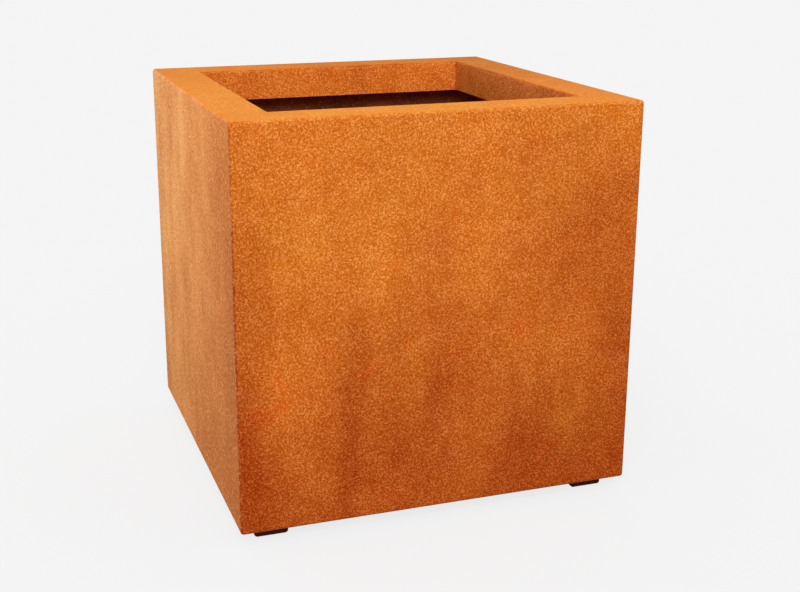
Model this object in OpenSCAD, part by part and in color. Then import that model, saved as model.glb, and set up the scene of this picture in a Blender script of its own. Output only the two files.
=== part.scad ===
// Square planter box of folded weathering-steel sheet.
//
// Four wall panels, each folded into a broad rim with a turned-down lip at the top and a
// return flange at the bottom, are mitred and welded at the corners. A drained base plate
// lies on the return flanges, and four pressed cup feet hold the box off the ground.
// X runs along the front, Y to the rear and Z up. The origin is on the ground at the centre.

/* [Overall size] */
// Width along the front
box_width = 600; // [400:10:1200]
// Depth from front to rear
box_depth = 600; // [400:10:1200]
// Height from the ground to the top of the rim
box_height = 600; // [300:10:1000]

/* [Sheet] */
// Thickness of the wall panels
sheet = 3; // [2:0.5:4]
// Inside radius of every fold
fold_radius = 2; // [1.5:0.5:3]

/* [Rim and flange] */
// Width of the flat rim, from the outer face to the lip's face
rim_width = 70; // [50:5:120]
// Height of the turned-down lip, from the top of the rim
lip_height = 50; // [25:5:80]
// How far the return flange under the base plate reaches past the feet
flange_margin = 5; // [3:1:20]

/* [Base plate] */
// Thickness of the base plate
base_sheet = 3; // [2:0.5:4]
// Gap between the base plate's edge and the fold beside it
base_gap = 1; // [0.5:0.5:3]
// Diameter of each drain hole
drain_diameter = 25; // [15:1:40]
// Distance from the return flange's edge to the middle of a drain hole
drain_inset = 90; // [30:5:180]

/* [Feet] */
// Side of each square foot
foot_side = 50; // [35:1:60]
// Height of the feet
foot_height = 20; // [15:1:40]
// Distance from the outer faces to a foot
foot_inset = 25; // [18:1:40]
// Thickness of a foot's wall and sole
foot_sheet = 3; // [2:0.5:4]

/* [Welds] */
// Leg of the fillet weld inside each upright corner
corner_leg = 5; // [3:0.5:8]
// Leg of the stitch welds on the base plate
base_leg = 4; // [3:0.5:6]
// Leg of the stitch welds round each foot
foot_leg = 3; // [2:0.5:4]
// Length of each stitch weld on the base plate
base_stitch = 60; // [30:5:80]
// Distance between neighbouring stitch welds on the base plate
base_stitch_pitch = 180; // [100:10:200]
// Least distance from a corner to a stitch weld on the base plate
base_stitch_margin = 80; // [50:5:100]
// Distance from each end of a foot's side to its stitch weld
foot_stitch_margin = 12; // [8:1:15]
// Width of the low bead behind each mitre
bead_width = 6; // [4:0.5:8]
// Height of the low bead behind each mitre
bead_height = 1.5; // [1:0.5:2]
// Radius of the bead behind each corner of the lip
lip_bead_radius = 2; // [1:0.5:3]

/* [Hidden] */
$fn = 64;

CORNERS = [["front_left", -1, -1], ["front_right", 1, -1], ["rear_right", 1, 1], ["rear_left", -1, 1]];
// Each side's name, quarter turns from the front, length along it and distance across the box
SIDES = [
    ["front", 0, box_width, box_depth],
    ["right", 1, box_depth, box_width],
    ["rear", 2, box_width, box_depth],
    ["left", 3, box_depth, box_width],
];

RUST = "#C4641F";
INSIDE_RUST = "#5A2A18";
FOOT_RUST = "#3E1D14";
WELD_RUST = "#7A4026";

fold_outer = sheet + fold_radius;          // outside radius of every fold
wall_height = box_height - foot_height;    // height of the panels
foot_outer = foot_sheet + fold_radius;     // outside radius of a foot's edges
flange_width = foot_inset + foot_side + flange_margin;
base_edge = fold_outer + base_gap;         // from the outer face to the base plate's edge
base_top = sheet + base_sheet;             // from the bottom of the panels to the base plate's top
stitch_radius = base_edge - sheet + base_leg;
flange_bead_end = foot_inset - bead_width / 2;

// A rectangle from the origin with all four corners rounded
module rounded_rect(width, height, radius) {
    translate([radius, 0]) square([width - 2 * radius, height]);
    translate([0, radius]) square([width, height - 2 * radius]);
    for (x = [radius, width - radius], y = [radius, height - radius])
        translate([x, y]) circle(r = radius);
}

// A quarter of a disc between the positive axes
module quarter_disc(radius) {
    intersection() {
        circle(r = radius);
        square(radius);
    }
}

// A quarter turn of folded sheet about the fold's centre, between the positive axes
module fold() {
    difference() {
        quarter_disc(fold_outer);
        circle(r = fold_radius);
    }
}

// The section of a low weld bead that stands on the X axis
module bead_section() {
    radius = (bead_height ^ 2 + (bead_width / 2) ^ 2) / (2 * bead_height);
    intersection() {
        translate([0, bead_height - radius]) circle(r = radius);
        translate([-bead_width / 2, 0]) square([bead_width, bead_height]);
    }
}

// The section of a wall panel: X is the distance inwards from the outer face, Y is the height
module panel_section() {
    translate([0, fold_outer]) square([sheet, wall_height - 2 * fold_outer]);
    translate([fold_outer, wall_height - sheet]) square([rim_width - 2 * fold_outer, sheet]);
    translate([rim_width - sheet, wall_height - lip_height]) square([sheet, lip_height - fold_outer]);
    translate([fold_outer, 0]) square([flange_width - fold_outer, sheet]);
    translate([fold_outer, fold_outer]) rotate(180) fold();
    translate([fold_outer, wall_height - fold_outer]) rotate(90) fold();
    translate([rim_width - fold_outer, wall_height - fold_outer]) fold();
}

// The outline of a wall panel from above: 45 degree mitres and ground outer corners
module panel_plan(length) {
    reach = max(rim_width, flange_width) + 1;
    half = length / 2;
    intersection() {
        polygon([[-half, 0], [half, 0], [half - reach, reach], [reach - half, reach]]);
        translate([-half, 0]) rounded_rect(length, 2 * reach, fold_outer);
    }
}

// A wall panel with its outer face on the XZ plane and its inside towards +Y
module wall_panel(length) {
    color(RUST)
    intersection() {
        translate([-length / 2, 0, 0]) rotate([90, 0, 90]) linear_extrude(length) panel_section();
        linear_extrude(wall_height) panel_plan(length);
    }
}

// Distance from the middle of a side to a drain hole
function drain_place(length) = length / 2 - flange_width - drain_inset;

// The plate that closes the bottom, with four drain holes
module base_plate() {
    width = box_width - 2 * base_edge;
    depth = box_depth - 2 * base_edge;
    color(INSIDE_RUST)
    translate([0, 0, foot_height + sheet])
    difference() {
        translate([-width / 2, -depth / 2, 0]) cube([width, depth, base_sheet]);
        for (x = [-1, 1], y = [-1, 1])
            translate([x * drain_place(box_width), y * drain_place(box_depth), -1])
                cylinder(d = drain_diameter, h = base_sheet + 2);
    }
}

// A block with its upright and bottom edges rounded, and a square top edge
module cup_form(side, height, radius) {
    intersection() {
        linear_extrude(height) rounded_rect(side, side, radius);
        rotate([90, 0, 90]) linear_extrude(side) rounded_rect(side, height + radius, radius);
        translate([0, side, 0]) rotate([90, 0, 0]) linear_extrude(side)
            rounded_rect(side, height + radius, radius);
    }
}

// A foot pressed from sheet as an open cup, in the frame of a corner
module foot() {
    hollow = foot_side - 2 * foot_sheet;
    color(FOOT_RUST)
    translate([foot_inset, foot_inset, -foot_height])
    difference() {
        cup_form(foot_side, foot_height, foot_outer);
        translate([foot_sheet, foot_sheet, foot_sheet]) cup_form(hollow, foot_height, fold_radius);
    }
}

// The fillet weld up the inside of a corner, from the base plate to the rim's fold
module corner_weld() {
    color(WELD_RUST)
    translate([sheet, sheet, base_top])
        linear_extrude(wall_height - fold_outer - base_top) quarter_disc(corner_leg);
}

// A low bead under a mitre, between two distances inwards from the outer faces
module mitre_bead(from, to, height) {
    color(WELD_RUST)
    translate([from, from, height])
        rotate([-90, 0, -45]) linear_extrude((to - from) * sqrt(2)) bead_section();
}

module rim_mitre_weld() {
    mitre_bead(fold_outer + bead_width / 2, rim_width - fold_outer - bead_width / 2, wall_height - sheet);
}

module flange_mitre_weld() {
    mitre_bead(fold_outer + bead_width / 2, flange_bead_end, 0);
}

// The bead round the hidden side of the lip's corner
module lip_corner_weld() {
    hidden_face = rim_width - sheet;
    color(WELD_RUST)
    translate([hidden_face, hidden_face, wall_height - lip_height])
        linear_extrude(lip_height - fold_outer)
            difference() {
                circle(r = lip_bead_radius);
                square(lip_bead_radius + 1);
            }
}

// A row of stitches from the wall to the base plate, in a panel's frame
module base_stitch_welds(length) {
    each_way = floor((length / 2 - base_stitch_margin - base_stitch / 2) / base_stitch_pitch);
    color(WELD_RUST)
    for (i = [-each_way:each_way])
        translate([i * base_stitch_pitch - base_stitch / 2, sheet, base_top])
            rotate([90, 0, 90]) linear_extrude(base_stitch) quarter_disc(stitch_radius);
}

// One stitch on each side of a foot, under the return flange, in the frame of a corner
module foot_stitch_welds() {
    middle = foot_inset + foot_side / 2;
    length = foot_side - 2 * foot_stitch_margin;
    color(WELD_RUST)
    for (quarter = [0:3])
        translate([middle, middle, 0]) rotate(90 * quarter)
            translate([-length / 2, foot_side / 2, 0])
                rotate([0, 90, 0]) linear_extrude(length) quarter_disc(foot_leg);
}

// Puts a shape made in a panel's frame on one side of the box
module on_side(side) {
    rotate(90 * side[1]) translate([0, -side[3] / 2, foot_height]) children();
}

// Puts a shape made in a corner's frame on one corner: its +X and +Y then run inwards from the outer faces
module in_corner(corner) {
    translate([corner[1] * box_width / 2, corner[2] * box_depth / 2, foot_height])
        mirror([max(corner[1], 0), 0, 0]) mirror([0, max(corner[2], 0), 0]) children();
}

for (s = SIDES) {
    on_side(s) wall_panel(s[2]);
    on_side(s) base_stitch_welds(s[2]);
}
for (c = CORNERS) {
    in_corner(c) foot();
    in_corner(c) corner_weld();
    in_corner(c) rim_mitre_weld();
    in_corner(c) lip_corner_weld();
    in_corner(c) flange_mitre_weld();
    in_corner(c) foot_stitch_welds();
}
base_plate();
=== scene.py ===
"""A square planter box of folded weathering-steel sheet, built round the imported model.

Every piece is made by its own operator, in metres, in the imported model's frame:
X runs along the front, Y to the rear and Z up from the ground.
"""
import math

import bmesh
import bpy
from bpy.props import FloatProperty, FloatVectorProperty, IntProperty, PointerProperty
from mathutils import Matrix, Vector


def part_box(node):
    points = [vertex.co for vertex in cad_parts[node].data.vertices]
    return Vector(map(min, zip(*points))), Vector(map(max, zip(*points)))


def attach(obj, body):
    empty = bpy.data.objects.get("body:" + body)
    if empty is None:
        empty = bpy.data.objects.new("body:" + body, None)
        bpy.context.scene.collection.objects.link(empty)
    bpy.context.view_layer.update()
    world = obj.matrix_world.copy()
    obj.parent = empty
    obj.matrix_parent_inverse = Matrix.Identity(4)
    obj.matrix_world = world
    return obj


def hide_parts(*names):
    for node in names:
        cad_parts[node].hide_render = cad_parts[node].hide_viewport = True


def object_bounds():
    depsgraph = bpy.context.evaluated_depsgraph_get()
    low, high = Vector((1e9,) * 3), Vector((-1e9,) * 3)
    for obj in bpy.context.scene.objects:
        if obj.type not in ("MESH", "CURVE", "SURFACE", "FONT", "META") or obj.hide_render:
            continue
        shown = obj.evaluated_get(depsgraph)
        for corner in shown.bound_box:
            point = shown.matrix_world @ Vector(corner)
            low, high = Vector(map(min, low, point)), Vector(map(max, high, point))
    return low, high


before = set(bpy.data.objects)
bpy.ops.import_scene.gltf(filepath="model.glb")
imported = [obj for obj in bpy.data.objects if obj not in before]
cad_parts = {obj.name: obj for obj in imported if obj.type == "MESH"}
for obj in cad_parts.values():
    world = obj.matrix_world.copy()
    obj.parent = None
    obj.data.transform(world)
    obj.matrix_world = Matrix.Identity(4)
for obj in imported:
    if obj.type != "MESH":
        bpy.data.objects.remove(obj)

bl_info = {
    "name": "Weathering Steel Planter",
    "version": (1, 0, 0),
    "blender": (4, 5, 0),
    "location": "3D View > Sidebar > Planter",
    "description": "Builds a square planter box of folded and welded weathering steel",
    "category": "Add Mesh",
}

BODY = "root"
SIDES = ("front", "right", "rear", "left")
CORNERS = {"front_left": (-1, -1), "front_right": (1, -1), "rear_right": (1, 1), "rear_left": (-1, 1)}
TINY = 1e-5
SQUARE_TURN = 1                     # an edge that turns by more than this, in radians, is square
SHARP_ANGLE = math.radians(32)      # an edge that turns by more than this is shaded sharp

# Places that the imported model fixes
WHOLE_LOW, WHOLE_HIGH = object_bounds()
HALF_X, HALF_Y = WHOLE_HIGH.x, WHOLE_HIGH.y
TOP = WHOLE_HIGH.z
FLANGE_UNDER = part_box("front_panel")[0].z
BASE_LOW, BASE_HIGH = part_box("base_plate")
LIP_WELD_LOW, LIP_WELD_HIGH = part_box("lip_corner_weld_front_left")
RIM_WELD_LOW, RIM_WELD_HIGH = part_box("rim_mitre_weld_front_left")
FLANGE_WELD_LOW, FLANGE_WELD_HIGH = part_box("flange_mitre_weld_front_left")
CORNER_WELD_LOW, CORNER_WELD_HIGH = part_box("corner_weld_front_left")
BASE_STITCH_LOW, BASE_STITCH_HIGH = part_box("base_stitch_welds_front")
FOOT_STITCH_LOW, FOOT_STITCH_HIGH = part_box("foot_stitch_welds_front_left")
FOOT_LOW, FOOT_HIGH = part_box("foot_front_left")
SHEET = BASE_LOW.z - FLANGE_UNDER
FOLD = TOP - LIP_WELD_HIGH.z
LIP_BOTTOM = LIP_WELD_LOW.z
LIP_HIDDEN = (LIP_WELD_LOW.x + LIP_WELD_HIGH.x) / 2 + HALF_X
RIM = LIP_HIDDEN + SHEET
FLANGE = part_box("front_panel")[1].y + HALF_Y

# How finely rounded edges are stepped
EDGE_STEPS = 2
FOOT_STEPS = 8
DRAIN_STEPS = 48
DRAIN_COLLAR = 1.5                  # outer ring round a drain hole, as a share of its radius

# How a weld bead's skin is shaped
ARC_STEP = math.radians(15)
STEPS_PER_RIPPLE = 5
RIPPLE_CURVE = 0.45                 # how far a ripple's edges trail its middle, in ripples
SWAY_SHARE = 0.06                   # how much a bead narrows here and there
SWAY_WAVES = (61, 143)              # in radians to the metre
END_SHARE = 0.45                    # size of a bead at its very ends
MITRE_BEAD_WIDTH = 4                # in heights of the bead

# Steps between the ripples of neighbouring beads, so that no two are alike
CORNER_PHASE, MITRE_PHASE, LIP_PHASE = 0.37, 0.61, 0.43
SIDE_PHASE, STITCH_PHASE = 0.29, 0.17
FOOT_PHASE, FOOT_SIDE_PHASE = 0.31, 0.23

# Studio floor, lamps and camera
FLOOR_RADIUS = 40
KEY_SPREAD, KEY_DIRECTION = math.radians(40), (0.306, 0.754, -0.583)
SIDE_SPREAD, SIDE_DIRECTION = math.radians(15), (0.6, -0.79, -0.07)
CAMERA_PLACE = (-0.62996, -1.84828, 0.85372)
CAMERA_DIRECTION = (0.3096, 0.9109, -0.2729)
CAMERA_SENSOR, CAMERA_LENS = 36, 56.29
CAMERA_SHIFT = (0.0314, -0.0346)


class PlanterShape(bpy.types.PropertyGroup):
    """Sizes of the planter's pieces that don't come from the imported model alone."""

    fold_radius: FloatProperty(
        name="Fold radius", description="Outside radius of every fold in the wall sheet",
        default=FOLD, min=0.003, max=0.01, unit="LENGTH", precision=4)
    fold_steps: IntProperty(
        name="Fold steps", description="Flat steps in each rounded fold", default=16, min=4, max=32)
    edge_rounding: FloatProperty(
        name="Edge rounding", description="Rounding of the cut edges of the sheet",
        default=0.0004, min=0.0001, max=0.001, unit="LENGTH", precision=4)
    foot_radius: FloatProperty(
        name="Foot radius", description="Outside radius of a foot's pressed edges",
        default=0.005, min=0.003, max=0.01, unit="LENGTH", precision=4)
    drain_radius: FloatProperty(
        name="Drain radius", description="Radius of each drain hole",
        default=0.0125, min=0.005, max=0.02, unit="LENGTH", precision=4)
    drain_spacing: FloatProperty(
        name="Drain spacing", description="Distance between the middles of neighbouring drain holes",
        default=0.26, min=0.1, max=0.4, unit="LENGTH")
    base_stitch: FloatProperty(
        name="Base stitch", description="Length of each stitch weld on the base plate",
        default=0.06, min=0.03, max=0.08, unit="LENGTH")
    stitch_pitch: FloatProperty(
        name="Stitch pitch", description="Distance between neighbouring stitch welds on the base plate",
        default=0.18, min=0.1, max=0.2, unit="LENGTH")
    foot_stitch: FloatProperty(
        name="Foot stitch", description="Length of each stitch weld round a foot",
        default=0.026, min=0.01, max=0.04, unit="LENGTH", precision=4)
    ripple_pitch: FloatProperty(
        name="Ripple pitch", description="Distance between the ripples of a weld bead",
        default=0.003, min=0.001, max=0.006, unit="LENGTH", precision=4)
    ripple_depth: FloatProperty(
        name="Ripple depth", description="Depth of a bead's creases, as a share of the bead's size",
        default=0.1, min=0.0, max=0.3, subtype="FACTOR")


class PlanterRust(bpy.types.PropertyGroup):
    """Colours and scales of the rust on each kind of piece."""

    pale_rust: FloatVectorProperty(
        name="Pale rust", description="Ground colour of the walls high up and in the paler clouds",
        subtype="COLOR", size=3, min=0, max=1, default=(0.588, 0.128, 0.006))
    deep_rust: FloatVectorProperty(
        name="Deep rust", description="Ground colour of the walls low down and in the darker clouds",
        subtype="COLOR", size=3, min=0, max=1, default=(0.285, 0.029, 0.0005))
    fleck_rust: FloatVectorProperty(
        name="Fleck rust", description="Colour that the fine flecks add to the ground colour",
        subtype="COLOR", size=3, min=0, max=1, default=(0.26, 0.186, 0.062))
    # The rim's palest colour at the front left is a painted highlight
    rim_highlight_rust: FloatVectorProperty(
        name="Rim rust", description="Ground colour of the rim at its palest, at the front left",
        subtype="COLOR", size=3, min=0, max=1, default=(0.63, 0.165, 0.012))
    # The left wall's pale dust also stands in for a painted sheen
    dust_and_sheen: FloatVectorProperty(
        name="Dust", description="Pale dusty rust on the left wall",
        subtype="COLOR", size=3, min=0, max=1, default=(0.98, 0.56, 0.27))
    inside_rust: FloatVectorProperty(
        name="Inside rust", description="Dark rust on the hidden side of the sheet",
        subtype="COLOR", size=3, min=0, max=1, default=(0.33, 0.085, 0.033))
    base_rust: FloatVectorProperty(
        name="Base rust", description="Dark rust on the base plate",
        subtype="COLOR", size=3, min=0, max=1, default=(0.09, 0.025, 0.013))
    # The feet are rust steel; their near-black colour is painted shade
    shaded_foot_rust: FloatVectorProperty(
        name="Foot rust", description="Near-black coating on the feet",
        subtype="COLOR", size=3, min=0, max=1, default=(0.036, 0.0065, 0.0025))
    weld_rust: FloatVectorProperty(
        name="Weld rust", description="Brown of the weld beads",
        subtype="COLOR", size=3, min=0, max=1, default=(0.18, 0.055, 0.022))
    fleck_size: FloatProperty(
        name="Fleck size", description="Rough width of one fleck of rust",
        default=0.0028, min=0.001, max=0.01, unit="LENGTH", precision=4)
    cloud_size: FloatProperty(
        name="Cloud size", description="Rough width of the broad clouds in the rust",
        default=0.19, min=0.05, max=0.5, unit="LENGTH")
    gloss: FloatProperty(
        name="Gloss", description="Strength of the dull reflection on the rust",
        default=0.025, min=0.0, max=1.0, subtype="FACTOR")
    sheen: FloatProperty(
        name="Sheen", description="Strength of the pale bloom where the walls are seen at a shallow angle",
        default=0.205, min=0.0, max=1.0, subtype="FACTOR")
    sheen_roughness: FloatProperty(
        name="Sheen roughness", description="How widely the pale bloom spreads",
        default=0.4, min=0.0, max=1.0, subtype="FACTOR")
    sheen_tint: FloatVectorProperty(
        name="Sheen tint", description="Colour of the pale bloom",
        subtype="COLOR", size=3, min=0, max=1, default=(1.0, 0.65, 0.06))


class PlanterStage(bpy.types.PropertyGroup):
    """The floor and the light."""

    floor_shade: FloatProperty(
        name="Floor shade", description="How much light the pale floor scatters",
        default=0.1, min=0.0, max=1.0, subtype="FACTOR")
    floor_glow: FloatProperty(
        name="Floor glow", description="Light of the floor itself, which keeps shadows faint",
        default=0.785, min=0.0, max=1.0)
    floor_bounce: FloatProperty(
        name="Floor bounce", description="Light that the floor's glow throws on the planter",
        default=0.18, min=0.0, max=1.0)
    sky_light: FloatProperty(
        name="Sky light", description="Strength of the even light from all round",
        default=0.8, min=0.0, max=3.0)
    key_light: FloatProperty(
        name="Key light", description="Strength of the soft light from the front",
        default=2.35, min=0.0, max=10.0)
    side_light: FloatProperty(
        name="Side light", description="Strength of the low light from the rear left",
        default=1.05, min=0.0, max=10.0)


# Meshes


def edges_where(bm, test):
    return [edge for edge in bm.edges if test(edge)]


def is_level(edge):
    return abs(edge.verts[0].co.z - edge.verts[1].co.z) < TINY


def cut_edges(bm):
    """The square, level edges of a sheet that already has its thickness."""
    return edges_where(bm, lambda edge: is_level(edge) and edge.calc_face_angle(0) > SQUARE_TURN)


def new_verts(result):
    return [v for v in result["geom"] if isinstance(v, bmesh.types.BMVert)]


def round_edges(bm, edges, radius, steps):
    bmesh.ops.bevel(bm, geom=edges, offset=radius, offset_type="OFFSET", segments=steps, profile=0.5,
                    affect="EDGES", clamp_overlap=True, material=-1)


def give_thickness(bm, thickness):
    """Thickens an open skin inwards, against its normals. Returns the faces of its outer side."""
    outer = set(bm.faces)
    bmesh.ops.solidify(bm, geom=list(outer), thickness=thickness)
    return outer


def corner_place(signs):
    """Turns a corner's own frame, which runs inwards from its outer faces, into the model's frame."""
    across, along = signs
    mirrored = Matrix.Diagonal((-across, -along, 1, 1))
    return Matrix.Translation((across * HALF_X, along * HALF_Y, 0)) @ mirrored


def side_place(quarter):
    """Turns a side's own frame, which runs inwards along Y from its outer face, into the model's frame."""
    distance = HALF_X if quarter % 2 else HALF_Y
    return Matrix.Rotation(quarter * math.pi / 2, 4, "Z") @ Matrix.Translation((0, -distance, 0))


def axes(across, outwards, along, place):
    """Lays a bead's own X, Y and Z along three directions, with its start at a place."""
    turn = Matrix((across, outwards, along)).transposed().to_4x4()
    return Matrix.Translation(place) @ turn


def add_piece(bm, name, nodes, materials):
    """Makes the finished piece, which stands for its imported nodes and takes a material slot."""
    mesh = bpy.data.meshes.new(name)
    bm.to_mesh(mesh)
    bm.free()
    mesh.shade_smooth()
    mesh.set_sharp_from_angle(angle=SHARP_ANGLE)
    for material in materials:
        mesh.materials.append(material)
    piece = bpy.data.objects.new(name, mesh)
    bpy.context.scene.collection.objects.link(piece)
    shading = piece.modifiers.new("even_shading", "WEIGHTED_NORMAL")
    shading.keep_sharp = True
    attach(piece, BODY)
    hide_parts(*nodes)
    return piece


def filling(low, high):
    """Places a unit cube or square so that it fills a box."""
    return Matrix.Translation((low + high) / 2) @ Matrix.Diagonal((*(high - low), 1))


def box_skin(shape):
    """The outer skin of the whole box: walls, rim, lip and return flange, with every fold rounded."""
    bm = bmesh.new()
    low, high = Vector((-HALF_X, -HALF_Y, FLANGE_UNDER)), Vector((HALF_X, HALF_Y, TOP))
    bmesh.ops.create_cube(bm, size=1, matrix=filling(low, high))
    for direction, width in ((1, RIM), (-1, FLANGE)):
        face = next(face for face in bm.faces if face.normal.z * direction > 0.9)
        bmesh.ops.inset_region(bm, faces=[face], thickness=width, use_even_offset=True)
        bmesh.ops.delete(bm, geom=[face], context="FACES_ONLY")
    mouth = edges_where(bm, lambda edge: edge.is_boundary and edge.verts[0].co.z > TOP - TINY)
    lip = new_verts(bmesh.ops.extrude_edge_only(bm, edges=mouth))
    bmesh.ops.translate(bm, vec=(0, 0, LIP_BOTTOM - TOP), verts=lip)
    bmesh.ops.recalc_face_normals(bm, faces=bm.faces)
    folds = edges_where(bm, lambda edge: edge.is_manifold and edge.calc_face_angle_signed() > SQUARE_TURN)
    round_edges(bm, folds, shape.fold_radius, shape.fold_steps)
    return bm


def box_sheet(shape):
    """The skin given the sheet's thickness inwards, with the cut edges of lip and flange rounded."""
    bm = box_skin(shape)
    outer = give_thickness(bm, SHEET)
    for face in bm.faces:
        face.material_index = 0 if face in outer else 1
    round_edges(bm, cut_edges(bm), shape.edge_rounding, EDGE_STEPS)
    return bm


def cut_panel(box, quarter):
    """One wall panel, cut from the box at its two mitres and closed there."""
    bm = box.copy()
    turn = Matrix.Rotation(quarter * math.pi / 2, 3, "Z")
    length = HALF_Y if quarter % 2 else HALF_X
    distance = HALF_X if quarter % 2 else HALF_Y
    for end in (-1, 1):
        bmesh.ops.bisect_plane(
            bm, geom=bm.verts[:] + bm.edges[:] + bm.faces[:], dist=TINY, clear_outer=True,
            plane_co=turn @ Vector((end * length, -distance, 0)),
            plane_no=turn @ Vector((end, 1, 0)).normalized())
    bmesh.ops.holes_fill(bm, edges=edges_where(bm, lambda edge: edge.is_boundary))
    bmesh.ops.recalc_face_normals(bm, faces=bm.faces)
    return bm


def bead(start, sweep, radius, length, shape, root=(0, 0), middle=(0, 0), flat=False, phase=0.0):
    """A rippled weld bead along +Z. Its section is an arc about middle, closed over root unless flat."""
    bm = bmesh.new()
    first = bm.verts.new((middle[0] + radius * math.cos(start), middle[1] + radius * math.sin(start), 0))
    bmesh.ops.spin(bm, geom=[first], cent=(*middle, 0), axis=(0, 0, 1), angle=sweep,
                   steps=max(6, round(sweep / ARC_STEP)))
    outline = sorted(bm.verts, key=lambda v: math.atan2(v.co.y - middle[1], v.co.x - middle[0]) % math.tau)
    if not flat:
        outline.append(bm.verts.new((*root, 0)))
    section = bm.faces.new(outline)
    steps = max(8, round(length / shape.ripple_pitch * STEPS_PER_RIPPLE))
    bmesh.ops.spin(bm, geom=[section, *section.edges, *section.verts], cent=(0, 0, 0), axis=(0, 0, 1),
                   dvec=(0, 0, length / steps), angle=0, steps=steps)
    bmesh.ops.recalc_face_normals(bm, faces=bm.faces)
    taper = min(radius, length / 4)
    for v in bm.verts:
        away = Vector((v.co.x - root[0], v.co.y - root[1]))
        if away.length < TINY:
            continue
        angle = (math.atan2(v.co.y - middle[1], v.co.x - middle[0]) - start) % math.tau
        turned = angle / sweep * 2 - 1
        travelled = v.co.z / shape.ripple_pitch - RIPPLE_CURVE * turned * turned + phase
        crease = shape.ripple_depth * (1 - abs(math.sin(math.pi * travelled)))
        slow, quick = SWAY_WAVES
        waver = math.sin(v.co.z * slow + phase * 7) * math.sin(v.co.z * quick + phase * 3)
        sway = SWAY_SHARE * (0.5 + 0.5 * waver)
        end = max(0, min(1, v.co.z / taper, (length - v.co.z) / taper))
        swell = END_SHARE + (1 - END_SHARE) * math.sqrt(end * (2 - end))
        share = (1 - crease) * (1 - sway) * swell
        v.co.x = root[0] + away.x * share
        v.co.y = root[1] + away.y * share
    return bm


def low_bead(width, height, length, shape, phase):
    """A low bead that stands on its own X axis."""
    radius = (height ** 2 + (width / 2) ** 2) / (2 * height)
    half = math.asin(width / 2 / radius)
    return bead(math.pi / 2 - half, 2 * half, radius, length, shape, middle=(0, height - radius), flat=True,
                phase=phase)


def fillet(leg, length, shape, phase):
    """A bead that fills the corner between its own X and Y axes."""
    return bead(0, math.pi / 2, leg, length, shape, phase=phase)


def joined(parts):
    """One mesh from several beads, each with its place."""
    bm = bmesh.new()
    for part, place in parts:
        bmesh.ops.transform(part, matrix=place, verts=part.verts)
        bmesh.ops.recalc_face_normals(part, faces=part.faces)
        mesh = bpy.data.meshes.new("bead")
        part.to_mesh(mesh)
        part.free()
        bm.from_mesh(mesh)
        bpy.data.meshes.remove(mesh)
    return bm


# Materials


class Finish:
    """Builds one material's nodes: its patterns follow the piece in metres."""

    def __init__(self, name, gloss):
        self.material = bpy.data.materials.new(name)
        self.material.use_nodes = True
        self.tree = self.material.node_tree
        self.shader = self.tree.nodes["Principled BSDF"]
        self.shader.inputs["Specular IOR Level"].default_value = gloss
        self.place = self.node("ShaderNodeTexCoord").outputs["Object"]

    def node(self, kind, **settings):
        node = self.tree.nodes.new(kind)
        for name, value in settings.items():
            setattr(node, name, value)
        return node

    def put(self, socket, value):
        if isinstance(value, bpy.types.NodeSocket):
            self.tree.links.new(value, socket)
        elif isinstance(value, (int, float)):
            socket.default_value = value
        else:
            socket.default_value = (*value, 1)[:len(socket.default_value)]

    def math(self, operation, first, second=0.0, third=0.0):
        node = self.node("ShaderNodeMath", operation=operation)
        for socket, value in zip(node.inputs, (first, second, third)):
            self.put(socket, value)
        return node.outputs[0]

    def vector(self, operation, first, second):
        node = self.node("ShaderNodeVectorMath", operation=operation)
        self.put(node.inputs[0], first)
        self.put(node.inputs[1], second)
        return node

    def noise(self, size, detail=2.0, roughness=0.5, distortion=0.0, stretch=(1, 1, 1), shift=(0, 0, 0)):
        """Soft random pattern, mostly 0.3 to 0.7, whose lumps are about one size wide times the stretch."""
        mapping = self.node("ShaderNodeMapping", vector_type="TEXTURE")
        self.put(mapping.inputs["Vector"], self.place)
        mapping.inputs["Scale"].default_value = stretch
        mapping.inputs["Location"].default_value = shift
        node = self.node("ShaderNodeTexNoise")
        self.put(node.inputs["Vector"], mapping.outputs[0])
        node.inputs["Scale"].default_value = 1 / size
        node.inputs["Detail"].default_value = detail
        node.inputs["Roughness"].default_value = roughness
        node.inputs["Distortion"].default_value = distortion
        return node.outputs["Fac"]

    def spread(self, value, low, high, to_low=0.0, to_high=1.0, smooth=False):
        """Brings a value's range from low..high to to_low..to_high, and holds it there."""
        node = self.node("ShaderNodeMapRange", interpolation_type="SMOOTHSTEP" if smooth else "LINEAR")
        names = ("Value", "From Min", "From Max", "To Min", "To Max")
        for name, number in zip(names, (value, low, high, to_low, to_high)):
            self.put(node.inputs[name], number)
        return node.outputs["Result"]

    def mix(self, share, first, second, blend="MIX"):
        """Mixes two colours, which go into the node's sockets 6 and 7; the others are for other kinds."""
        node = self.node("ShaderNodeMix", data_type="RGBA", blend_type=blend, clamp_factor=True)
        self.put(node.inputs["Factor"], share)
        self.put(node.inputs[6], first)
        self.put(node.inputs[7], second)
        return node.outputs[2]

    def tinted(self, colour, share, tint):
        """A colour multiplied by a tint where the share is 1."""
        return self.mix(share, colour, tint, "MULTIPLY")

    def times(self, first, second):
        return self.math("MULTIPLY", first, second)

    def total(self, *shares):
        """Adds values, each times its weight."""
        result = 0.0
        for value, weight in shares:
            result = self.math("MULTIPLY_ADD", value, weight, result)
        return result

    def patch(self, middle, radius):
        """1 in the middle of a soft round patch and 0 outside its radius."""
        offset = self.vector("SUBTRACT", self.place, middle).outputs["Vector"]
        in_radii = self.vector("DIVIDE", offset, radius).outputs["Vector"]
        distance = self.vector("LENGTH", in_radii, (0, 0, 0)).outputs["Value"]
        return self.spread(distance, 1.0, PATCH_CORE, smooth=True)

    def bump(self, height, depth, strength):
        node = self.node("ShaderNodeBump")
        node.inputs["Strength"].default_value = strength
        node.inputs["Distance"].default_value = depth
        self.put(node.inputs["Height"], height)
        self.put(self.shader.inputs["Normal"], node.outputs["Normal"])


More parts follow.
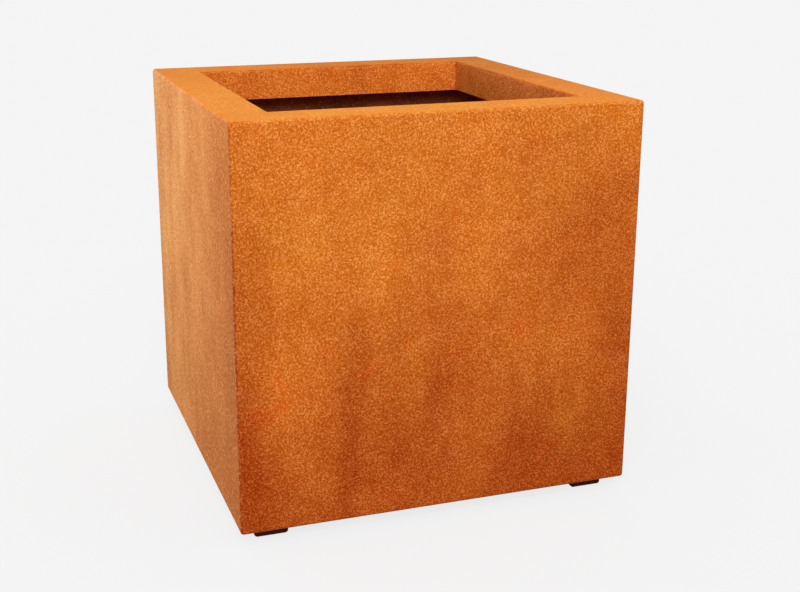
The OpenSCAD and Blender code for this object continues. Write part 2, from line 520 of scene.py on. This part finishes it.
# Where one part of the rust gives way to the next: the distance where it starts and where it is full
RIM_BAND = (0.005, 0.0004)          # below the top
FOLD_BAND = (0.0055, 0.0035)        # below the top, coming up from the wall
FOLD_END = (0.0002, 0.0015)         # below the top, coming down from the rim
LEFT_BAND = (0.003, 0.0005)         # in from the left face
LIP_BAND = (0.0035, 0.001)          # out from the lip's face
RIGHT_LIP_BAND = (0.004, 0.001)     # in from the right lip's face
SEAM_WIDTH = (0.0022, 0.0004)       # either side of a mitre
SEAM_DEPTH = (0.006, 0.004)         # in from the outer faces
SEAM_TOP = (0.006, 0.012)           # below the top

# Tints that multiply the colour under the flecks
YELLOWER = (1.0, 1.2, 1.1)
REDDER = (1.0, 0.82, 0.95)
STAINED = (1.12, 0.88, 0.7)
# Painted light on the lip: bounce light on all of it, and shade on the right side
LIP_BOUNCE_TINT = (1.0, 0.87, 0.62)
RIGHT_LIP_SHADE = (0.74, 0.52, 0.55)
LEFT_TINT = (1.1, 0.93, 0.7)
DARK_SPECK = (0.84, 0.7, 0.5)
REAR_END_SHADE = (0.9, 0.96, 1.05)
RIM_PLAIN = (1.0, 0.86, 0.5)
RIM_YELLOW = (0.98, 1.04, 1.3)
FOLD_SHADE = (0.9, 0.92, 1.0)
# Painted shade up each upright corner
CORNER_SHADE = (0.78, 0.72, 0.7)
PIT_TINT = (0.72, 0.56, 0.45)

PALE_SPECK = (0.95, 0.56, 0.3)
LOW_FLECKS = (0.84, 0.44, 0.34)     # how much of the flecks' colour is left where the rust is deep
TONE_BALANCE = -0.85                # brings the tone to 0 in the deepest rust and 1 in the palest
HUE_SWING = 0.16
FULL_HUE = 0.6

PATCH_CORE = 0.2                    # share of a patch's radius that is at full strength

# Soft patches on the front wall: middle, radii, and what they add to the tone and to the yellow hue
FRONT = -HALF_Y
FRONT_PATCHES = (
    ((-0.14, FRONT, 0.42), (0.16, 0.1, 0.19), 0.15, 0.08),
    ((-0.22, FRONT, 0.23), (0.07, 0.1, 0.12), 0.14, -0.05),
    ((-0.19, FRONT, 0.12), (0.06, 0.1, 0.09), 0.12, -0.12),
    ((0.01, FRONT, 0.235), (0.06, 0.1, 0.07), -0.14, -0.1),
    ((-0.025, FRONT, 0.445), (0.05, 0.1, 0.06), -0.1, 0.0),
    ((-0.13, FRONT, 0.26), (0.03, 0.1, 0.11), -0.12, 0.0),
    ((0.185, FRONT, 0.34), (0.07, 0.1, 0.08), -0.12, 0.05),
    ((0.22, FRONT, 0.5), (0.12, 0.1, 0.12), -0.12, 0.0),
    ((-0.22, FRONT, 0.435), (0.06, 0.1, 0.06), 0.03, 0.22),
    ((0.215, FRONT, 0.11), (0.1, 0.1, 0.09), 0.08, 0.45),
    ((0.16, FRONT, 0.47), (0.05, 0.1, 0.06), 0.05, 0.18),
    ((-0.05, FRONT, 0.23), (0.05, 0.1, 0.1), 0.08, 0.14),
    ((0.19, FRONT, 0.08), (0.16, 0.1, 0.14), -0.21, 0.42),
    ((-0.3, FRONT, 0.27), (0.075, 0.1, 0.48), -0.25, -0.04),
    ((-0.3, FRONT, 0.2), (0.05, 0.1, 0.1), -0.14, -0.03),
    ((0.3, FRONT, 0.3), (0.09, 0.1, 0.52), -0.27, 0.0),
    ((0.0, FRONT, 0.31), (0.06, 0.1, 0.05), -0.14, -0.03),
    ((0.09, FRONT, 0.39), (0.05, 0.1, 0.05), -0.12, 0.0),
    ((-0.09, FRONT, 0.05), (0.06, 0.1, 0.06), 0.2, 0.0),
)


def band(origin, direction, distances):
    """The two places that lie at a band's distances from an origin."""
    return [origin + direction * distance for distance in distances]


class WallFinish(Finish):
    """Orange rust in soft clouds, darker and redder low down, covered in fine paler flecks."""

    def __init__(self, rust):
        super().__init__("wall_rust", rust.gloss)
        self.rust = rust
        self.shader.inputs["Sheen Weight"].default_value = rust.sheen
        self.shader.inputs["Sheen Roughness"].default_value = rust.sheen_roughness
        self.shader.inputs["Sheen Tint"].default_value = (*rust.sheen_tint, 1)
        split = self.node("ShaderNodeSeparateXYZ")
        self.put(split.inputs[0], self.place)
        self.across, self.along, self.up = split.outputs
        self.off_middle = [self.math("ABSOLUTE", value) for value in (self.across, self.along)]
        self.outwards = self.math("MAXIMUM", *self.off_middle)
        self.height = self.spread(self.up, FLANGE_UNDER, TOP)
        self.rim = self.spread(self.up, *band(TOP, -1, RIM_BAND), smooth=True)
        self.left = self.spread(self.across, *band(-HALF_X, 1, LEFT_BAND))
        self.front_left = self.total((self.across, -0.5), (self.along, -0.7))
        self.broad = self.noise(rust.cloud_size, detail=3, stretch=(1, 1, 1.4))
        self.middling = self.noise(rust.cloud_size * 0.36, detail=3, roughness=0.6, stretch=(1, 1, 1.3),
                                   shift=(0.3, 0.1, 0.2))
        self.runs = self.noise(size=0.03, detail=2, stretch=(1, 1, 7), shift=(0.7, 0.2, 0.1))

    def tone_and_hue(self):
        """How pale the rust is, from 0 to 1, and how yellow, from below 0 where it is red."""
        small = self.noise(size=0.02, detail=2, roughness=0.6, shift=(0.1, 0.5, 0.4))
        hue = self.noise(size=0.09, detail=3, shift=(0.2, 0.9, 0.6))
        # The tone rises with height, so the walls grow darker towards the bottom: partly the rust itself,
        # partly painted shade where the light falls off
        tone = self.total((self.height, 0.85), (self.broad, 0.8), (self.middling, 0.55), (small, 0.25),
                          (self.runs, 0.3))
        tone = self.math("ADD", tone, TONE_BALANCE)
        yellow = self.spread(hue, 0.3, 0.7, -HUE_SWING, HUE_SWING)
        for middle, radii, lighter, yellower in FRONT_PATCHES:
            patch = self.patch(middle, radii)
            if lighter:
                tone = self.math("MULTIPLY_ADD", patch, lighter, tone)
            if yellower:
                yellow = self.math("MULTIPLY_ADD", patch, yellower, yellow)
        # Painted light on the rim: paler at the front left and darker towards the rear right, as the light
        # falls off
        rim_light_falloff = self.spread(self.front_left, -0.2, 0.2, -0.4, 0.1)
        tone = self.math("MULTIPLY_ADD", self.rim, rim_light_falloff, tone)
        # Painted shade: the left wall grows darker towards its front end
        left_front_shade = self.spread(self.along, -HALF_Y, 0, -0.4, 0)
        tone = self.math("MULTIPLY_ADD", self.left, left_front_shade, tone)
        return self.spread(tone, 0, 1), yellow

    def clouded(self, pale, yellow):
        """The ground colour that the whole sheet shares, palest on the rim at the front left, where a
        highlight is painted.
        """
        ground = self.mix(pale, self.rust.deep_rust, self.rust.pale_rust)
        palest = self.times(self.rim, self.spread(self.front_left, -0.2, 0.2))
        ground = self.mix(palest, ground, self.rust.rim_highlight_rust)
        ground = self.tinted(ground, self.spread(yellow, 0, FULL_HUE), YELLOWER)
        return self.tinted(ground, self.spread(yellow, 0, -FULL_HUE), REDDER)

    def stained(self, ground):
        """A few soft vivid stains, low down."""
        stains = self.noise(size=0.045, detail=3, roughness=0.5, shift=(0.9, 0.7, 0.3))
        low_down = self.spread(self.height, 0.75, 0.55)
        stains = self.times(self.spread(stains, 0.58, 0.76, smooth=True), low_down)
        return self.tinted(ground, stains, STAINED)

    def lip_bounce_and_shade(self, ground):
        """Deeper orange on the lip, which is painted bounce light, and darkest on its right side, which is
        painted shade.
        """
        mouth = HALF_X - RIM
        on_lip = self.spread(self.outwards, *band(mouth, 1, LIP_BAND))
        ground = self.tinted(ground, on_lip, LIP_BOUNCE_TINT)
        right = self.spread(self.across, *band(mouth, -1, RIGHT_LIP_BAND))
        return self.tinted(ground, self.times(on_lip, right), RIGHT_LIP_SHADE)

    def dust_and_sheen_on_left(self, ground):
        """Dusty paleness and fine specks on the left wall, stronger towards the rear. The paleness is partly
        dust and partly a painted sheen, and the very rear end is painted shade.
        """
        ground = self.tinted(ground, self.left, LEFT_TINT)
        mottle = self.noise(size=0.005, detail=3, roughness=0.65, shift=(0.2, 0.6, 0.7))
        dust_and_sheen = self.total((mottle, 1.35), (self.middling, 0.5), (self.broad, 0.5), (self.runs, 0.3))
        dust_and_sheen = self.spread(dust_and_sheen, 1.07, 1.72)
        dust_and_sheen = self.times(dust_and_sheen, self.spread(self.along, -HALF_Y, 0.25, 0.04, 1.0))
        dust_and_sheen = self.times(dust_and_sheen, self.spread(self.height, 0.1, 0.9, 0.4, 1.0))
        ground = self.mix(self.times(self.left, dust_and_sheen), ground, self.rust.dust_and_sheen)
        specks = self.noise(size=0.0042, detail=2, roughness=0.6, shift=(0.9, 0.4, 0.2))
        dark_specks = self.times(self.left, self.spread(specks, 0.5, 0.34))
        ground = self.tinted(ground, dark_specks, DARK_SPECK)
        pale_specks = self.times(self.left, self.spread(specks, 0.52, 0.7, 0, 0.32))
        ground = self.mix(pale_specks, ground, PALE_SPECK)
        # Painted shade at the rear end of the left wall
        rear_end_shade = self.times(self.left, self.spread(self.along, 0.2, 0.29))
        return self.tinted(ground, rear_end_shade, REAR_END_SHADE)

    def uneven_rim(self, ground):
        """Uneven yellow on the rim, and a little painted shade on the folds, which catch light from two
        sides.
        """
        blotches = self.noise(size=0.03, detail=3, roughness=0.6, shift=(0.8, 0.1, 0.5))
        yellowed = self.mix(self.spread(blotches, 0.38, 0.62), RIM_PLAIN, RIM_YELLOW)
        ground = self.tinted(ground, self.rim, yellowed)
        folds = self.times(self.spread(self.up, *band(TOP, -1, FOLD_BAND)),
                           self.spread(self.up, *band(TOP, -1, FOLD_END)))
        return self.tinted(ground, folds, FOLD_SHADE)

    def painted_corner_shade(self, ground):
        """A slightly darker line up each upright mitre, which is painted shade on the rounded corner."""
        apart = self.math("ABSOLUTE", self.math("SUBTRACT", *self.off_middle))
        corner_shade_mask = self.times(self.spread(apart, *SEAM_WIDTH),
                          self.spread(self.outwards, *band(HALF_X, -1, SEAM_DEPTH)))
        corner_shade_mask = self.times(corner_shade_mask, self.spread(self.up, *band(TOP, -1, SEAM_TOP)))
        return self.tinted(ground, corner_shade_mask, CORNER_SHADE)

    def flecked(self, ground, pale):
        """Fine paler flecks and small dark pits, which also shape the roughness and the bump."""
        lumps = self.noise(self.rust.fleck_size, detail=2.5, roughness=0.65, distortion=0.6)
        crowd = self.noise(size=0.035, detail=2, shift=(0.4, 0.3, 0.8))
        flecks = self.spread(self.total((lumps, 1.0), (crowd, 0.12)), 0.52, 0.7)
        flecks = self.times(flecks, self.math("SUBTRACT", 1.0, self.times(self.rim, 0.25)))
        pits = self.noise(size=0.0026, detail=2, roughness=0.6, shift=(0.6, 0.4, 0.1))
        pits = self.spread(pits, 0.44, 0.32)
        ground = self.tinted(ground, pits, PIT_TINT)
        low_flecks = scaled(self.rust.fleck_rust, LOW_FLECKS)
        fleck_colour = self.mix(pale, low_flecks, self.rust.fleck_rust)
        colour = self.mix(flecks, ground, self.mix(1.0, ground, fleck_colour, "ADD"))
        self.put(self.shader.inputs["Base Color"], colour)
        self.put(self.shader.inputs["Roughness"], self.spread(lumps, 0.3, 0.7, 0.52, 0.68))
        self.bump(self.total((lumps, 1.0), (pits, -0.4)), depth=0.0006, strength=0.8)


def scaled(colour, shares):
    return [min(1, part * share) for part, share in zip(colour, shares)]


def wall_finish(rust):
    """The rust on the outside of the walls, the rim and the lip."""
    finish = WallFinish(rust)
    pale, yellow = finish.tone_and_hue()
    ground = finish.clouded(pale, yellow)
    ground = finish.stained(ground)
    ground = finish.lip_bounce_and_shade(ground)
    ground = finish.dust_and_sheen_on_left(ground)
    ground = finish.uneven_rim(ground)
    ground = finish.painted_corner_shade(ground)
    finish.flecked(ground, pale)
    return finish.material


def dark_finish(name, colour, roughness, gloss, grain=0.0035):
    """Dark rust with soft clouds, small speckles and a fine skin. On the feet its near-black is painted
    shade.
    """
    finish = Finish(name, gloss)
    clouds = finish.noise(size=0.06, detail=3, roughness=0.6)
    speckle = finish.noise(grain, detail=2, roughness=0.6, distortion=0.4, shift=(0.5, 0.2, 0.3))
    darker, lighter, warmer = (scaled(colour, shares) for shares in ((0.6,) * 3, (1.4,) * 3, (2.1, 2.4, 1.9)))
    tone = finish.mix(finish.spread(clouds, 0.3, 0.7), darker, lighter)
    tone = finish.mix(finish.spread(speckle, 0.52, 0.72), tone, warmer)
    finish.put(finish.shader.inputs["Base Color"], tone)
    finish.put(finish.shader.inputs["Roughness"],
               finish.spread(speckle, 0.3, 0.7, roughness - 0.08, roughness + 0.08))
    finish.bump(speckle, depth=0.0002, strength=0.5)
    return finish.material


def material_named(name, make):
    """The material of this name, made on its first use."""
    return bpy.data.materials.get(name) or make()


def wall_rust(scene):
    return material_named("wall_rust", lambda: wall_finish(scene.planter_rust))


def inside_rust(scene):
    rust = scene.planter_rust
    return material_named("inside_rust", lambda: dark_finish(
        "inside_rust", rust.inside_rust, roughness=0.7, gloss=rust.gloss))


def weld_rust(scene):
    rust = scene.planter_rust
    return material_named("weld_rust", lambda: dark_finish(
        "weld_rust", rust.weld_rust, roughness=0.55, gloss=0.3, grain=0.002))


# Stage


def aim(thing, direction):
    thing.rotation_mode = "QUATERNION"
    thing.rotation_quaternion = Vector(direction).to_track_quat("-Z", "Y")


def pale_floor(look):
    """A floor that looks pale of itself, and throws less light on the planter than it shows."""
    material = bpy.data.materials.new("pale_floor")
    material.use_nodes = True
    tree = material.node_tree
    shader = tree.nodes["Principled BSDF"]
    shader.inputs["Base Color"].default_value = (look.floor_shade,) * 3 + (1,)
    shader.inputs["Roughness"].default_value = 1
    shader.inputs["Specular IOR Level"].default_value = 0
    shader.inputs["Emission Color"].default_value = (1, 1, 1, 1)
    rays = tree.nodes.new("ShaderNodeLightPath")
    glow = tree.nodes.new("ShaderNodeMapRange")
    glow.inputs["To Min"].default_value = look.floor_glow
    glow.inputs["To Max"].default_value = look.floor_bounce
    tree.links.new(rays.outputs["Is Diffuse Ray"], glow.inputs["Value"])
    tree.links.new(glow.outputs["Result"], shader.inputs["Emission Strength"])
    return material


# Operators


class PLANTER_OT_walls(bpy.types.Operator):
    """Makes the four folded wall panels with their rims, lips and return flanges"""

    bl_idname = "planter.walls"
    bl_label = "Wall Panels"

    def execute(self, context):
        box = box_sheet(context.scene.planter_shape)
        materials = (wall_rust(context.scene), inside_rust(context.scene))
        for quarter, side in enumerate(SIDES):
            add_piece(cut_panel(box, quarter), f"{side}_wall", [f"{side}_panel"], materials)
        box.free()
        return {"FINISHED"}


class PLANTER_OT_base(bpy.types.Operator):
    """Makes the base plate with its four drain holes"""

    bl_idname = "planter.base"
    bl_label = "Base Plate"

    def execute(self, context):
        shape, rust = context.scene.planter_shape, context.scene.planter_rust
        bm = bmesh.new()
        top_low = Vector((BASE_LOW.x, BASE_LOW.y, BASE_HIGH.z))
        bmesh.ops.create_grid(bm, x_segments=1, y_segments=1, size=0.5, matrix=filling(top_low, BASE_HIGH))
        bmesh.ops.delete(bm, geom=bm.faces[:], context="FACES_ONLY")
        half = shape.drain_spacing / 2
        rings = []
        for across in (-half, half):
            for along in (-half, half):
                place = Matrix.Translation((across, along, BASE_HIGH.z))
                ring = bmesh.ops.create_circle(
                    bm, segments=DRAIN_STEPS, radius=shape.drain_radius * DRAIN_COLLAR, matrix=place)["verts"]
                rings.append((place, list({edge for v in ring for edge in v.link_edges})))
        bmesh.ops.triangle_fill(bm, edges=bm.edges[:], use_beauty=True, use_dissolve=False, normal=(0, 0, 1))
        for place, edges in rings:
            grown = new_verts(bmesh.ops.extrude_edge_only(bm, edges=edges))
            bmesh.ops.scale(bm, vec=(1 / DRAIN_COLLAR, 1 / DRAIN_COLLAR, 1), space=place.inverted(),
                            verts=grown)
        bmesh.ops.recalc_face_normals(bm, faces=bm.faces)
        if bm.faces[0].normal.z < 0:
            bmesh.ops.reverse_faces(bm, faces=bm.faces)
        give_thickness(bm, BASE_HIGH.z - BASE_LOW.z)
        round_edges(bm, cut_edges(bm), shape.edge_rounding, EDGE_STEPS)
        bmesh.ops.recalc_face_normals(bm, faces=bm.faces)
        material = dark_finish("base_rust", rust.base_rust, roughness=0.7, gloss=rust.gloss)
        add_piece(bm, "drained_base", ["base_plate"], [material])
        return {"FINISHED"}


class PLANTER_OT_feet(bpy.types.Operator):
    """Makes the four pressed cup feet"""

    bl_idname = "planter.feet"
    bl_label = "Feet"

    def execute(self, context):
        shape, rust = context.scene.planter_shape, context.scene.planter_rust
        # The feet's near-black colour is painted shade on rust steel
        material = dark_finish("foot_painted_shade", rust.shaded_foot_rust, roughness=0.6, gloss=0.03)
        for corner in CORNERS:
            low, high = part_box(f"foot_{corner}")
            bm = bmesh.new()
            bmesh.ops.create_cube(bm, size=1, matrix=filling(low, high))
            mouth = high.z - TINY
            pressed = edges_where(bm, lambda edge: not (is_level(edge) and edge.verts[0].co.z > mouth))
            round_edges(bm, pressed, shape.foot_radius, FOOT_STEPS)
            top = [face for face in bm.faces if face.calc_center_median().z > mouth]
            bmesh.ops.delete(bm, geom=top, context="FACES_ONLY")
            give_thickness(bm, SHEET)
            bmesh.ops.recalc_face_normals(bm, faces=bm.faces)
            add_piece(bm, f"cup_foot_{corner}", [f"foot_{corner}"], [material])
        return {"FINISHED"}


class PLANTER_OT_corner_welds(bpy.types.Operator):
    """Lays the long fillet weld up the inside of each corner"""

    bl_idname = "planter.corner_welds"
    bl_label = "Corner Welds"

    def execute(self, context):
        shape = context.scene.planter_shape
        leg = CORNER_WELD_HIGH.x - CORNER_WELD_LOW.x
        length = CORNER_WELD_HIGH.z - CORNER_WELD_LOW.z
        for index, (corner, signs) in enumerate(CORNERS.items()):
            place = corner_place(signs) @ Matrix.Translation((SHEET, SHEET, CORNER_WELD_LOW.z))
            bm = joined([(fillet(leg, length, shape, index * CORNER_PHASE), place)])
            add_piece(bm, f"corner_bead_{corner}", [f"corner_weld_{corner}"],
                      [weld_rust(context.scene)])
        return {"FINISHED"}


class PLANTER_OT_mitre_welds(bpy.types.Operator):
    """Lays the low beads under the mitres of the rim and of the return flange"""

    bl_idname = "planter.mitre_welds"
    bl_label = "Mitre Welds"

    def execute(self, context):
        shape = context.scene.planter_shape
        height = RIM_WELD_HIGH.z - RIM_WELD_LOW.z
        width = MITRE_BEAD_WIDTH * height
        shy = width / 2 / math.sqrt(2)     # a bead's square end spreads this far past its middle line
        directions = (Vector((1, -1, 0)).normalized(), Vector((0, 0, -1)), Vector((1, 1, 0)).normalized())
        beads = (("rim", RIM_WELD_LOW, RIM_WELD_HIGH), ("flange", FLANGE_WELD_LOW, FLANGE_WELD_HIGH))
        for kind, low, high in beads:
            start, end = low.x + HALF_X + shy, high.x + HALF_X - shy
            length = (end - start) * math.sqrt(2)
            for index, (corner, signs) in enumerate(CORNERS.items()):
                place = corner_place(signs) @ axes(*directions, (start, start, high.z))
                bm = joined([(low_bead(width, height, length, shape, index * MITRE_PHASE), place)])
                add_piece(bm, f"{kind}_bead_{corner}", [f"{kind}_mitre_weld_{corner}"],
                          [weld_rust(context.scene)])
        return {"FINISHED"}


class PLANTER_OT_lip_welds(bpy.types.Operator):
    """Lays the bead behind each corner of the lip"""

    bl_idname = "planter.lip_welds"
    bl_label = "Lip Welds"

    def execute(self, context):
        shape = context.scene.planter_shape
        radius = (LIP_WELD_HIGH.x - LIP_WELD_LOW.x) / 2
        length = LIP_WELD_HIGH.z - LIP_WELD_LOW.z
        for index, (corner, signs) in enumerate(CORNERS.items()):
            place = corner_place(signs) @ Matrix.Translation((LIP_HIDDEN, LIP_HIDDEN, LIP_BOTTOM))
            around = bead(math.pi / 2, 1.5 * math.pi, radius, length, shape, phase=index * LIP_PHASE)
            add_piece(joined([(around, place)]), f"lip_bead_{corner}", [f"lip_corner_weld_{corner}"],
                      [weld_rust(context.scene)])
        return {"FINISHED"}


class PLANTER_OT_base_welds(bpy.types.Operator):
    """Lays the rows of stitches between the walls and the base plate"""

    bl_idname = "planter.base_welds"
    bl_label = "Base Stitch Welds"

    def execute(self, context):
        shape = context.scene.planter_shape
        leg = BASE_STITCH_HIGH.z - BASE_STITCH_LOW.z
        length = shape.base_stitch
        each_way = round((BASE_STITCH_HIGH.x - length / 2) / shape.stitch_pitch)
        for quarter, side in enumerate(SIDES):
            stitches = []
            for i in range(-each_way, each_way + 1):
                start = (i * shape.stitch_pitch - length / 2, SHEET, BASE_HIGH.z)
                place = side_place(quarter) @ axes((0, 1, 0), (0, 0, 1), (1, 0, 0), start)
                phase = quarter * SIDE_PHASE + i * STITCH_PHASE
                stitches.append((fillet(leg, length, shape, phase), place))
            add_piece(joined(stitches), f"base_stitches_{side}", [f"base_stitch_welds_{side}"],
                      [weld_rust(context.scene)])
        return {"FINISHED"}


class PLANTER_OT_foot_welds(bpy.types.Operator):
    """Lays one stitch on each side of every foot, under the return flange"""

    bl_idname = "planter.foot_welds"
    bl_label = "Foot Stitch Welds"

    def execute(self, context):
        shape = context.scene.planter_shape
        leg = FOOT_STITCH_HIGH.z - FOOT_STITCH_LOW.z
        side = (FOOT_HIGH.x - FOOT_LOW.x) / 2
        middle = (FOOT_LOW.x + FOOT_HIGH.x) / 2 + HALF_X
        length = shape.foot_stitch
        laid = axes((0, 0, -1), (0, 1, 0), (1, 0, 0), (-length / 2, side, FOOT_STITCH_HIGH.z))
        for index, (corner, signs) in enumerate(CORNERS.items()):
            on_foot = corner_place(signs) @ Matrix.Translation((middle, middle, 0))
            stitches = []
            for quarter in range(4):
                place = on_foot @ Matrix.Rotation(quarter * math.pi / 2, 4, "Z") @ laid
                phase = index * FOOT_PHASE + quarter * FOOT_SIDE_PHASE
                stitches.append((fillet(leg, length, shape, phase), place))
            add_piece(joined(stitches), f"foot_stitches_{corner}", [f"foot_stitch_welds_{corner}"],
                      [weld_rust(context.scene)])
        return {"FINISHED"}


class PLANTER_OT_stage(bpy.types.Operator):
    """Sets up the pale floor, the soft studio light and the camera"""

    bl_idname = "planter.stage"
    bl_label = "Stage"

    def execute(self, context):
        look = context.scene.planter_stage
        bm = bmesh.new()
        bmesh.ops.create_circle(bm, cap_ends=True, segments=96, radius=FLOOR_RADIUS)
        mesh = bpy.data.meshes.new("studio_floor")
        bm.to_mesh(mesh)
        bm.free()
        mesh.materials.append(pale_floor(look))
        floor = bpy.data.objects.new("studio_floor", mesh)
        context.scene.collection.objects.link(floor)

        world = bpy.data.worlds.new("soft_sky")
        world.use_nodes = True
        sky = world.node_tree.nodes["Background"]
        sky.inputs["Color"].default_value = (1, 1, 1, 1)
        sky.inputs["Strength"].default_value = look.sky_light
        context.scene.world = world

        for name, strength, spread, direction in (
                ("soft_key", look.key_light, KEY_SPREAD, KEY_DIRECTION),
                ("soft_side", look.side_light, SIDE_SPREAD, SIDE_DIRECTION)):
            light = bpy.data.lights.new(name, "SUN")
            light.energy = strength
            light.angle = spread
            lamp = bpy.data.objects.new(name, light)
            aim(lamp, direction)
            context.scene.collection.objects.link(lamp)

        camera = bpy.data.objects.new("studio_camera", bpy.data.cameras.new("studio_camera"))
        camera.data.sensor_width = CAMERA_SENSOR
        camera.data.lens = CAMERA_LENS
        camera.data.shift_x, camera.data.shift_y = CAMERA_SHIFT
        camera.location = CAMERA_PLACE
        aim(camera, CAMERA_DIRECTION)
        context.scene.collection.objects.link(camera)
        context.scene.camera = camera
        context.scene.view_settings.view_transform = "Standard"
        return {"FINISHED"}


OPERATORS = (
    PLANTER_OT_walls, PLANTER_OT_base, PLANTER_OT_feet, PLANTER_OT_corner_welds, PLANTER_OT_mitre_welds,
    PLANTER_OT_lip_welds, PLANTER_OT_base_welds, PLANTER_OT_foot_welds, PLANTER_OT_stage,
)


class PLANTER_PT_sidebar(bpy.types.Panel):
    """Lists the planter's operators with its sizes and colours"""

    bl_idname = "PLANTER_PT_sidebar"
    bl_label = "Planter Box"
    bl_space_type = "VIEW_3D"
    bl_region_type = "UI"
    bl_category = "Planter"

    def draw(self, context):
        for operator in OPERATORS:
            self.layout.operator(operator.bl_idname)
        for group in (context.scene.planter_shape, context.scene.planter_rust, context.scene.planter_stage):
            box = self.layout.box()
            for name in group.__annotations__:
                box.prop(group, name)


CLASSES = (PlanterShape, PlanterRust, PlanterStage, *OPERATORS, PLANTER_PT_sidebar)


def register():
    for cls in CLASSES:
        bpy.utils.register_class(cls)
    bpy.types.Scene.planter_shape = PointerProperty(type=PlanterShape)
    bpy.types.Scene.planter_rust = PointerProperty(type=PlanterRust)
    bpy.types.Scene.planter_stage = PointerProperty(type=PlanterStage)


def unregister():
    for name in ("planter_shape", "planter_rust", "planter_stage"):
        delattr(bpy.types.Scene, name)
    for cls in reversed(CLASSES):
        bpy.utils.unregister_class(cls)


def main():
    register()
    bpy.ops.planter.walls()
    bpy.ops.planter.base()
    bpy.ops.planter.feet()
    bpy.ops.planter.corner_welds()
    bpy.ops.planter.mitre_welds()
    bpy.ops.planter.lip_welds()
    bpy.ops.planter.base_welds()
    bpy.ops.planter.foot_welds()
    bpy.ops.planter.stage()


if __name__ == "__main__":
    main()
